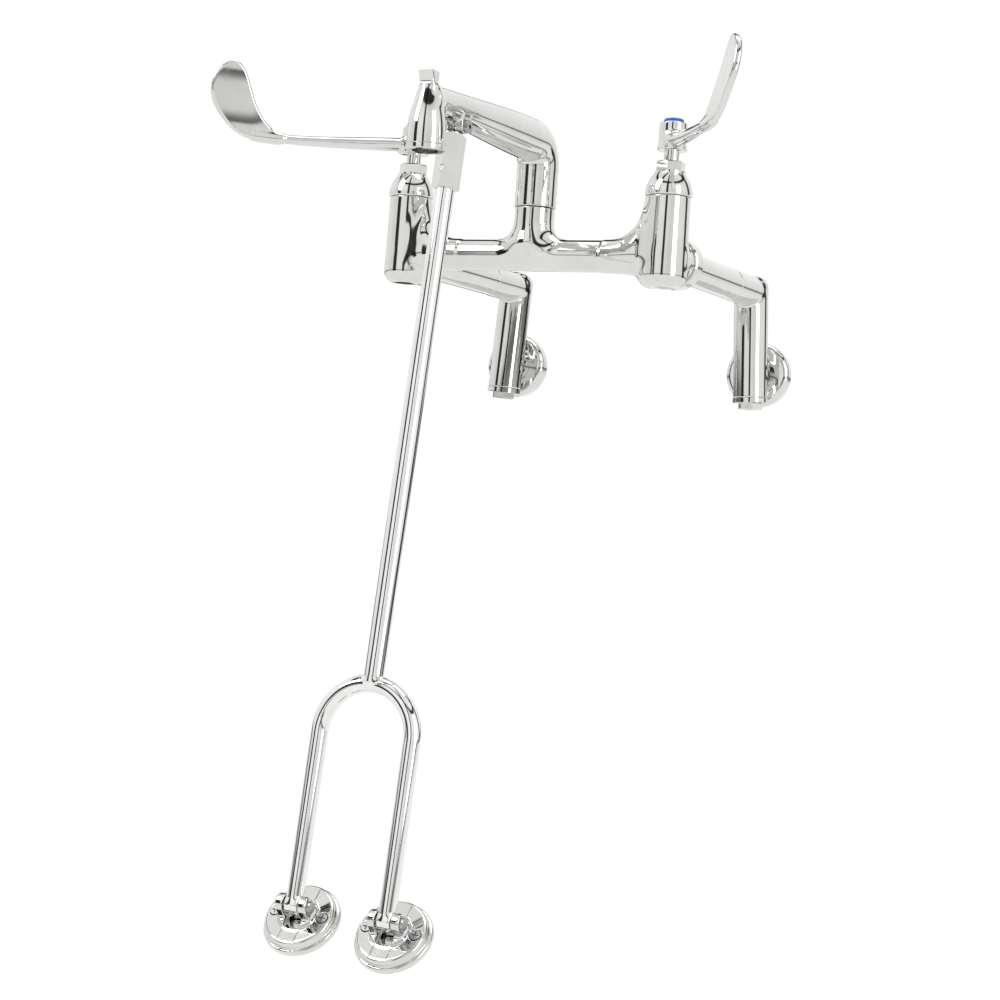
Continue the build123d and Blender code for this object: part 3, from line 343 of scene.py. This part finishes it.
# Valve body, from the middle of its tube: x to the right, y into the wall, z up.
VALVE_X, TUBE_R, UPRIGHT_R, NECK_R = 101.6, 11.15, 14.15, 10.4
BARREL_R, BARREL_TAPER, BARREL_FOOT, BARREL_TOP = 16.4, 0.0192, 21.3, 41.65
UPRIGHT_TOP = 33.5
OUTLET_R, OUTLET_DROP, SPIGOT_R = 16.5, 1.7, 14.8
FLARE_START, FLARE_RUN, FLARE_END = 58.5, 28.0, 0.985
FLARE_R, FLARE_SWELL, FLARE_WIDEN, FLARE_LIFT = 10.95, 18.25, 0.5, 12.25
VALVE_BORES = (
    ((VALVE_X, 0, 0), Z, 12.2, 9, 50, 0.2, 0.5),                  # cartridge
    ((VALVE_X, 0, 0), Z, 6.0, -1, 12, 0.2, 0.5),                  # port below the seat
    ((VALVE_X, 0, -OUTLET_DROP), Y, 8.0, -7.4, 19, 0.2, 0.5),     # from the supply arm
    ((VALVE_X, 0, -OUTLET_DROP), Y, 8.55, 18, 26, 0.2, 0.5),      # mouth of the outlet
    (ORIGIN, X, 6.5, -73.6, 73.6, 0.2, 0.5),                      # along the tube
    (ORIGIN, Z, 7.0, 0, 54, 0.2, 0.5),                            # up through the neck
)
tube_place = Matrix.Translation((0, -WALL_TO_VALVES, TUBE_Z))


def valve_body_field(p):
    x, y, z = p
    across = abs(x)
    q = (across, y, z)
    solid = round_off(length(y, z) - TUBE_R, across - VALVE_X, 0.5)
    # upright, spread onto the tube
    solid = join(solid, round_off(length(x, y) - UPRIGHT_R, within(z, 30, 24), 4.0), 15.0)
    # barrels, slightly narrower at the top, on their flares
    barrel = length(across - VALVE_X, y) - BARREL_R + BARREL_TAPER * (z + BARREL_FOOT)
    barrel = round_off(barrel, within(z, 20, 41.3), 8.5)
    t = np.clip((across - FLARE_START) / FLARE_RUN, 0, FLARE_END)
    swell = 1 - np.sqrt(1 - t * t)
    half_z = FLARE_R + FLARE_SWELL * swell
    half_y = FLARE_R + FLARE_WIDEN * t
    flare = (length(y / half_y, (z - FLARE_LIFT * swell) / half_z) - 1) * half_y
    flare = round_off(flare, within(across, 75, 18), 0.5)
    solid = join(join(solid, flare, 2.5), barrel, 6.0)
    outlet = length(across - VALVE_X, z + OUTLET_DROP)
    solid = join(solid, round_off(outlet - OUTLET_R, within(y, 8, 8.6), 0.8), 3.0)
    # flat tops of the barrels and the upright, then the neck and the spigots
    solid = cut(solid, BARREL_TOP - z, 1.2)
    solid = cut(solid, round_off(across - 40, UPRIGHT_TOP - z, 0.1) + 0 * y, 0.8)
    solid = np.minimum(solid, round_off(length(x, y) - NECK_R, within(z, 40, 10), 0.3))
    solid = np.minimum(solid, round_off(outlet - SPIGOT_R, within(y, 18, 5.5), 0.3))
    solid = bore(solid, q, VALVE_BORES)
    # slanting port from the tube to the seat
    return cut(solid, capsule_bar(q, (73.6, 0, 0), (89.5, 0, 17.9), 4.0))


# Spout, in the same frame. Radius and fall of its arm from the bend to the nozzle,
# and the radius of the nozzle by height.
SPOUT_BEND, SPOUT_AXIS, REACH, SLEEVE_R = 17.0, 79.8, 169.1, 14.8
shares = (0.0, 0.112, 0.25, 0.414, 0.611, 0.769, 0.907, 1.0)
arm_radius = np.polyfit(shares, (14.8, 14.6, 14.0, 12.9, 11.4, 10.3, 9.4, 8.8), 4)
arm_fall = np.polyfit(shares, (0.0, 0.1, 0.4, 0.8, 1.4, 1.8, 2.2, 2.5), 3)
nozzle_heights = (46.9, 54.0, 59.6, 63.5, 68.6, 75.2, 84.0)
nozzle_radius = np.polyfit(nozzle_heights, (12.6, 12.6, 12.3, 11.8, 10.8, 8.9, 6.2), 4)
HOOK = smooth_loop((
    (-4.0, 78), (-4.2, 83), (-4.9, 88), (-6.8, 92.2), (-7.4, 94.2), (-5.6, 95.0), (-1.8, 94.8), (1.8, 95.0),
    (3.9, 94.3), (3.8, 91.5), (3.2, 87), (3.1, 83), (3.1, 78),
))


BOSS_Y, BOSS_Z, WATERWAY_R = 132, 66, 6.0
SPOUT_BORES = (
    ((0, -BOSS_Y, BOSS_Z), X, 2.6, -20, 20, 0.1, 0.3),    # pivot screw
    (ORIGIN, Z, 10.5, 20, 51, 0.1, 0.5),                  # socket for the neck
    ((0, -REACH, 0), Z, 10.3, 40, 59.5, 0.1, 0.3),        # socket for the outlet ring
)
SPOUT_WATERWAYS = (
    ((0, 0, 50), (0, -4, 76)),
    ((0, -6, 79), (0, -REACH + 8, 78.4)),
    ((0, -REACH + 2, 74), (0, -REACH, 58)),
)
LOCK_SCREW_HOLE = (((0, 0, 41.5), Y, 2.1, 8, 20, 0.1, 0.3),)


def spout_field(p):
    x, y, z = p
    sleeve = round_off(length(x, y) - SLEEVE_R, within(z, 48.5, 14.65), 0.7)
    bend_y, bend_z = -SPOUT_BEND, SPOUT_AXIS - SPOUT_BEND
    ring = np.arctan2(np.maximum(z - bend_z, 0), np.maximum(y - bend_y, 0) + 1e-6)
    elbow_y = y - bend_y - SPOUT_BEND * np.cos(ring)
    elbow = length(x, elbow_y, z - bend_z - SPOUT_BEND * np.sin(ring)) - SLEEVE_R
    share = np.clip((-y - SPOUT_BEND) / (REACH - SPOUT_BEND), 0, 1)
    middle = SPOUT_AXIS - np.polyval(arm_fall, share)
    arm = length(x, z - middle) - np.polyval(arm_radius, share)
    arm = round_off(arm, abs(y + (SPOUT_BEND + REACH) / 2) - (REACH - SPOUT_BEND) / 2, 0.2)
    solid = join(join(sleeve, elbow, 0.5), arm, 0.5)
    # nozzle and pail hook
    height = np.clip(z, nozzle_heights[0], nozzle_heights[-1])
    nozzle = length(x, y + REACH) - np.polyval(nozzle_radius, height)
    nozzle = round_off(nozzle, within(z, 66.2, 19.3), 0.6)
    solid = join(solid, nozzle, 4.5)
    hook = round_off(outline(y + REACH, z, HOOK), abs(x) - 5.2, 1.5)
    solid = join(solid, hook, 2.0)
    # boss with its two ears and the slot between them
    boss = round_off(capsule(y, z, (-BOSS_Y, BOSS_Z), (-BOSS_Y, 78), 4.6), abs(x) - 8.5, 0.9)
    solid = join(solid, boss, 2.5)
    swing = length(y + BOSS_Y, z - BOSS_Z) - 4.5
    slot = np.minimum(swing, round_off(abs(y + BOSS_Y) - 6.5, within(z, 57.4, 10), 0.1))
    solid = cut(solid, round_off(slot, abs(x) - 2.5, 0.1), 0.5)
    solid = bore(solid, p, SPOUT_BORES)
    for start, stop in SPOUT_WATERWAYS:
        solid = cut(solid, capsule_bar(p, start, stop, WATERWAY_R))
    return bore(solid, p, LOCK_SCREW_HOLE)


# Handle, along its own lever: x out to the tip, y across, z up.
LEVER_END, TIP = 118.0, 152.4
lever_share = (0.0, 0.214, 0.482, 0.75, 1.0)
lever_z = np.polyfit(lever_share, (80.0, 78.1, 75.9, 74.2, 74.0), 3)
lever_half_h = np.polyfit(lever_share, (4.9, 4.5, 4.0, 3.2, 2.9), 3)
lever_half_w = np.polyfit(lever_share, (6.0, 5.0, 4.2, 3.4, 2.6), 3)
BLADE = smooth_loop((
    (97.2, 76.6), (103.2, 78.6), (112.5, 86.9), (119.0, 97.0), (123.3, 107.2), (127.7, 117.6), (132.4, 123.4),
    (136.4, 125.2), (140.8, 124.2), (146.4, 120.6), (150.7, 114.3), (TIP, 105.6), (150.2, 95.3), (143.7, 85.3),
    (135.7, 77.7), (126.0, 72.7), (113.6, 71.0), (100.0, 71.0),
))


HUB_R, BLADE_HALF, BOW, LEAN_BACK = 9.6, 2.4, 6.3, 5.2
HANDLE_BORES = (
    (ORIGIN, Z, 7.1, 88.8, 100, 0.1, 0.4),    # index button
    (ORIGIN, Z, 2.2, 80, 95, 0.1, 0.2),       # screw
    (ORIGIN, Z, 4.5, 60, 83.7, 0.1, 0.3),     # stem
)


def handle_field(p):
    u, v, z = p
    # the lever bows a little to one side and the blade leans back
    bow = -BOW * ease(u, 4, 122) + LEAN_BACK * ease(u, 88, 124) * ease(z, 74, 128)
    across = v - bow
    share = np.clip((u - 6) / (LEVER_END - 6), 0, 1)
    half_h = np.polyval(lever_half_h, share)
    half_w = np.polyval(lever_half_w, share)
    lever = length(across / half_w, (z - np.polyval(lever_z, share)) / half_h) - 1
    lever = round_off(lever * np.minimum(half_h, half_w), within(u, 62, 58), 2.4)
    blade = round_off(outline(u, z, BLADE), abs(across) - BLADE_HALF, 2.0)
    # hub, wider at its lower edge
    flare = 0.9 * (1 - ease(z, 73.6, 80))
    hub = round_off(length(u, v) - HUB_R - flare, within(z, 83.3, 9.7), 1.1)
    return bore(join(join(lever, blade, 4.0), hub, 4.0), p, HANDLE_BORES)


# Stop body, from where its leg meets the arm: x right, y into the wall, z up.
LEG_R, ARM_SOCKET_R, WALL_NECK_R, PASSAGE_R = 13.16, 11.9, 13.3, 7.0


def stop_body_field(side):
    lean = (side * math.sin(SPLAY), 0.0, -math.cos(SPLAY))
    inlet = [62.8 * c for c in lean]
    bores = (
        (inlet, Y, PASSAGE_R, 0, 12, 0.1, 0.2),
        (inlet, Y, 10.47, 8.5, 30, 0.1, 0.4),         # wall thread
        (ORIGIN, lean, 8.65, 49.8, 90, 0.1, 0.2),     # stop plug
        (ORIGIN, lean, PASSAGE_R, 0, 52, 0.1, 0.2),
        (ORIGIN, Y, 9.5, -60, -42.4, 0.1, 0.3),       # supply arm
        (ORIGIN, Y, PASSAGE_R, -50, 0, 0.1, 0.2),
    )

    def field(p):
        # one bar rounds the leg's top, the other its lower edge
        leg = bar(p, ORIGIN, lean, LEG_R, -12.6, 60, 9.5)
        leg = np.minimum(leg, bar(p, ORIGIN, lean, LEG_R, 20, 82.7, 0.8))
        solid = join(leg, bar(p, ORIGIN, Y, ARM_SOCKET_R, -54.5, 0, 0.7), 2.0)
        solid = join(solid, bar(p, inlet, Y, WALL_NECK_R, 0, 23.4, 0.5), 2.5)
        return bore(solid, p, bores)

    return field


# Brace foot, from the middle of its wall face: x right, y up its face, z off the wall.
FOOT_R, FOOT_FACE_R, FOOT_BASE_R, KNUCKLE_R = 25.4, 23.2, 12.4, 5.9
KNUCKLE_HALF, FOOT_SLOT_HALF, PIN_HEIGHT = 11.2, 5.85, 19.5
FOOT_BORES = (
    ((0, 0, PIN_HEIGHT), X, 3.0, -20, 20, 0.1, 0.2),    # hinge pin
    ((-17, 0, 0), Z, 3.9, 7.6, 30, 0.1, 0.5),           # heads and shanks of the two screws
    ((-17, 0, 0), Z, 2.5, -5, 12, 0.1, 0.2),
    ((17, 0, 0), Z, 3.9, 7.6, 30, 0.1, 0.5),
    ((17, 0, 0), Z, 2.5, -5, 12, 0.1, 0.2),
)


def foot_field(p):
    x, y, z = p
    radial = length(x, y)
    disc = round_off(radial - FOOT_FACE_R, within(z, 5, 5), 2.2)
    rim = round_off(radial - FOOT_R, within(z, 2.3, 2.3), 1.4)
    solid = join(disc, rim, 1.2)
    solid = join(solid, round_off(radial - FOOT_BASE_R, within(z, 9, 3.6), 0.9), 1.6)
    knuckle = capsule(y, z, (0, PIN_HEIGHT), (0, 8), KNUCKLE_R)
    solid = join(solid, round_off(knuckle, abs(x) - KNUCKLE_HALF, 1.2), 2.2)
    solid = cut(solid, round_off(abs(x) - FOOT_SLOT_HALF, within(z, 30, 20), 0.2) + 0 * y, 0.6)
    return bore(solid, p, FOOT_BORES)


# Brace fork, from the middle between its two pins: x right, y to the wall, z up the rod.
FORK_HALF, FORK_TUBE_R, FORK_BEND_Z, EYE_HALF = 33.15, 5.55, 109.3, 4.8
WELD_R, ROD_HOLE_R, ROD_FOOT_Z = 6.7, 6.37, 146.75


def fork_field(p):
    x, y, z = p
    tube = length(length(x, np.maximum(z - FORK_BEND_Z, 0)) - FORK_HALF, y) - FORK_TUBE_R
    solid = np.maximum(tube, -z)
    for side in (-1, 1):
        # eye on the hinge pin
        eye = (side * FORK_HALF, 0, 0)
        solid = join(solid, bar(p, eye, X, 5.5, -EYE_HALF, EYE_HALF, 1.6), 1.5)
        solid = cut(solid, bar(p, eye, X, 2.95, -20, 20, 0.1), 0.2)
    # thin weld round the foot of the rod
    solid = join(solid, bar(p, ORIGIN, Z, WELD_R, 143, 147.7, 0.4), 1.6)
    return cut(solid, bar(p, ORIGIN, Z, ROD_HOLE_R, ROD_FOOT_Z, 170, 0.05), 0.1)


# ---------------------------------------------------------------- castings in their places
# Boxes are in millimetres in each casting's own frame; the number after them is the cell.
casting(
    "valve_body_casting", valve_body_field, (-119, -18, -23), (119, 25, 51), 1.0, tube_place,
    "valve_body", "faucet_body",
)
casting(
    "spout_casting", spout_field, (-16, -184, 33), (16, 16, 97), 1.0, tube_place,
    "spout", "faucet_body",
)
for side, name, angle in ((-1, "hot", -46.0), (1, "cold", 36.5)):
    out = Vector((math.sin(math.radians(angle)), -math.cos(math.radians(angle)), 0))
    over = Vector(Z).cross(out)
    casting(
        f"{name}_handle_casting", handle_field, (-12, -13, 69), (154, 12, 127), 0.8,
        stand(out, over, Z, (side * HALF, -WALL_TO_VALVES, TUBE_Z)),
        f"{name}_handle", f"{name}_lever",
    )
    reach = sorted((-side * 15, side * 20))
    casting(
        f"{name}_stop_casting", stop_body_field(side), (reach[0], -56, -85), (reach[1], 25, 15), 0.9,
        Matrix.Translation((side * HALF, LEG_Y, ARM_Z)),
        f"{name}_stop_body", f"{name}_arm",
    )

# The brace hangs from the pivot in the spout's boss; its feet lean more than its rod.
brace_lean, foot_lean = math.radians(8.94), math.radians(47.0)
BRACE_LENGTH, PIN_SIDE, PIN_OFF_WALL_FACE = 0.509, 0.03315, 0.0195
pivot = Vector((0, -WALL_TO_VALVES - 0.132, TUBE_Z + 0.066))
foot_up = Vector((0, math.sin(foot_lean), math.cos(foot_lean)))
foot_out = Vector((0, -math.cos(foot_lean), math.sin(foot_lean)))
for side, name in ((-1, "left"), (1, "right")):
    pin = pivot + Vector((
        side * PIN_SIDE, -BRACE_LENGTH * math.sin(brace_lean), -BRACE_LENGTH * math.cos(brace_lean),
    ))
    casting(
        f"{name}_foot_casting", foot_field, (-26, -26, -0.5), (26, 26, 26), 0.7,
        stand(X, foot_up, foot_out, pin - foot_out * PIN_OFF_WALL_FACE),
        f"{name}_foot_flange", f"{name}_foot",
    )
rod_down = Vector((0, -math.sin(brace_lean), -math.cos(brace_lean)))
casting(
    "fork_casting", fork_field, (-40, -8.5, -7), (40, 8.5, 152), 0.7,
    stand(X, (0, -rod_down.z, rod_down.y), -rod_down, pivot + rod_down * BRACE_LENGTH),
    "brace_fork", "brace_leg",
)

# ---------------------------------------------------------------- floor, light, camera
FLOOR_Z, FLOOR_HALF, FLOOR_GREY = -0.92, 6.0, 0.80
floor_mesh = bpy.data.meshes.new("floor")
work = bmesh.new()
bmesh.ops.create_grid(work, x_segments=1, y_segments=1, size=FLOOR_HALF)
work.to_mesh(floor_mesh)
work.free()
floor = bpy.data.objects.new("floor", floor_mesh)
floor.location = (0, 0, FLOOR_Z)
scene.collection.objects.link(floor)
# white to the camera and in reflections, a soft grey for the light it throws back
mat, tree, shader, coords = new_material("floor_white")
shader.inputs["Base Color"].default_value = (FLOOR_GREY, FLOOR_GREY, FLOOR_GREY, 1)
shader.inputs["Roughness"].default_value = 0.9
path = tree.nodes.new("ShaderNodeLightPath")
white = tree.nodes.new("ShaderNodeEmission")
white.inputs["Color"].default_value = (1, 1, 1, 1)
mix = tree.nodes.new("ShaderNodeMixShader")
seen = tree.nodes.new("ShaderNodeMath")
seen.operation = "MAXIMUM"
tree.links.new(path.outputs["Is Camera Ray"], seen.inputs[0])
tree.links.new(path.outputs["Is Glossy Ray"], seen.inputs[1])
tree.links.new(seen.outputs[0], mix.inputs["Fac"])
tree.links.new(shader.outputs["BSDF"], mix.inputs[1])
tree.links.new(white.outputs["Emission"], mix.inputs[2])
tree.links.new(mix.outputs["Shader"], tree.nodes["Material Output"].inputs["Surface"])
floor.data.materials.append(mat)

world = bpy.data.worlds.new("studio")
scene.world = world
world.use_nodes = True
tree = world.node_tree
tree.nodes.clear()
out = tree.nodes.new("ShaderNodeOutputWorld")
path = tree.nodes.new("ShaderNodeLightPath")
coords = tree.nodes.new("ShaderNodeTexCoord")
split = tree.nodes.new("ShaderNodeSeparateXYZ")
tree.links.new(coords.outputs["Generated"], split.inputs["Vector"])


def world_ramp(source, stops):
    node = tree.nodes.new("ShaderNodeValToRGB")
    while len(node.color_ramp.elements) < len(stops):
        node.color_ramp.elements.new(0.5)
    for element, (position, value) in zip(node.color_ramp.elements, stops):
        element.position = position
        element.color = (value, value, value, 1)
    tree.links.new(source, node.inputs["Fac"])
    return node.outputs["Color"]


def world_math(kind, *values):
    node = tree.nodes.new("ShaderNodeMath")
    node.operation = kind
    for socket, value in enumerate(values):
        if isinstance(value, (int, float)):
            node.inputs[socket].default_value = value
        else:
            tree.links.new(value, node.inputs[socket])
    return node.outputs[0]


# What the chrome mirrors, as (position, brightness): bright walls, dark gaps between
# them and a dark line at the horizon. UPRIGHT runs from straight down to straight up,
# AROUND once round the object.
UPRIGHT = (
    (0.0, 0.85), (0.47, 0.90), (0.492, 0.30), (0.512, 0.12), (0.525, 0.90), (0.70, 1.0), (0.79, 0.97),
    (0.832, 0.80), (0.838, 0.03), (0.872, 0.03), (0.880, 0.92), (0.93, 1.0), (1.0, 0.90),
)
AROUND = (
    (0.0, 0.97), (0.06, 0.90), (0.115, 0.85), (0.122, 0.03), (0.168, 0.03), (0.18, 1.0), (0.262, 0.97),
    (0.269, 0.04), (0.294, 0.04), (0.301, 0.95), (0.36, 0.82), (0.44, 0.92), (0.52, 1.0), (0.590, 0.92),
    (0.598, 0.06), (0.635, 0.06), (0.645, 0.90), (0.76, 1.0), (0.808, 0.9), (0.815, 0.04),
    (0.858, 0.04), (0.868, 0.95), (1.0, 0.97),
)
GLOSSY_STRENGTH, SOFT_STRENGTH, SOFT_GREY = 1.08, 0.75, 0.9
height = world_math("MULTIPLY_ADD", split.outputs["Z"], 0.5, 0.5)
upright = world_ramp(height, UPRIGHT)
turn = world_math("ARCTAN2", split.outputs["Y"], split.outputs["X"])
turn = world_math("MULTIPLY_ADD", turn, 1 / (2 * math.pi), 0.5)
around = world_ramp(turn, AROUND)
studio = tree.nodes.new("ShaderNodeMix")
studio.data_type = "RGBA"
studio.blend_type = "MULTIPLY"
studio.inputs["Factor"].default_value = 1.0
tree.links.new(upright, studio.inputs["A"])
tree.links.new(around, studio.inputs["B"])

glossy = tree.nodes.new("ShaderNodeBackground")
tree.links.new(studio.outputs["Result"], glossy.inputs["Color"])
glossy.inputs["Strength"].default_value = GLOSSY_STRENGTH
soft = tree.nodes.new("ShaderNodeBackground")
soft.inputs["Color"].default_value = (SOFT_GREY, SOFT_GREY, SOFT_GREY, 1)
soft.inputs["Strength"].default_value = SOFT_STRENGTH
backdrop = tree.nodes.new("ShaderNodeBackground")
backdrop.inputs["Color"].default_value = (1, 1, 1, 1)
first = tree.nodes.new("ShaderNodeMixShader")
tree.links.new(path.outputs["Is Glossy Ray"], first.inputs["Fac"])
tree.links.new(soft.outputs[0], first.inputs[1])
tree.links.new(glossy.outputs[0], first.inputs[2])
second = tree.nodes.new("ShaderNodeMixShader")
tree.links.new(path.outputs["Is Camera Ray"], second.inputs["Fac"])
tree.links.new(first.outputs[0], second.inputs[1])
tree.links.new(backdrop.outputs[0], second.inputs[2])
tree.links.new(second.outputs[0], out.inputs["Surface"])


def area_light(name, place, target, size, power):
    light = bpy.data.lights.new(name, "AREA")
    light.shape = "RECTANGLE"
    light.size, light.size_y = size
    light.energy = power
    lamp = bpy.data.objects.new(name, light)
    lamp.location = place
    lamp.rotation_euler = (Vector(target) - Vector(place)).to_track_quat("-Z", "Y").to_euler()
    scene.collection.objects.link(lamp)


# sizes in metres, power in watts
centre = (0.0, -0.2, 0.0)
area_light("key", (-1.3, -1.6, 1.5), centre, (1.0, 1.4), 16.0)
area_light("fill", (1.8, -0.9, 0.5), centre, (0.7, 1.6), 9.0)
area_light("top", (0.0, 0.1, 1.9), centre, (1.6, 0.8), 9.0)

# The camera was fitted to edges in the photograph, with the focal length in its pixels.
FOCAL_PX, PHOTO_PX, SENSOR_MM = 1957.6, 1000.0, 36.0
TUBE_RIGHT, TUBE_DOWN, TUBE_AHEAD = 0.02288, 0.17470, 1.4
view = bpy.data.cameras.new("camera")
view.sensor_fit = "HORIZONTAL"
view.sensor_width = SENSOR_MM
view.lens = FOCAL_PX * SENSOR_MM / PHOTO_PX
view.clip_start = 0.05
view.clip_end = 30.0
camera = bpy.data.objects.new("camera", view)
right = Vector((0.8974, 0.4357, 0.0692)).normalized()
down = Vector((0.0643, 0.0261, -0.9976))
down = (down - right * down.dot(right)).normalized()
ahead = right.cross(down)
origin = Vector((0.0, -WALL_TO_VALVES, TUBE_Z))
place = origin - (right * TUBE_RIGHT - down * TUBE_DOWN + ahead * TUBE_AHEAD)
camera.matrix_world = stand(right, -down, -ahead, place)
scene.collection.objects.link(camera)
scene.camera = camera
scene.view_settings.view_transform = "Standard"
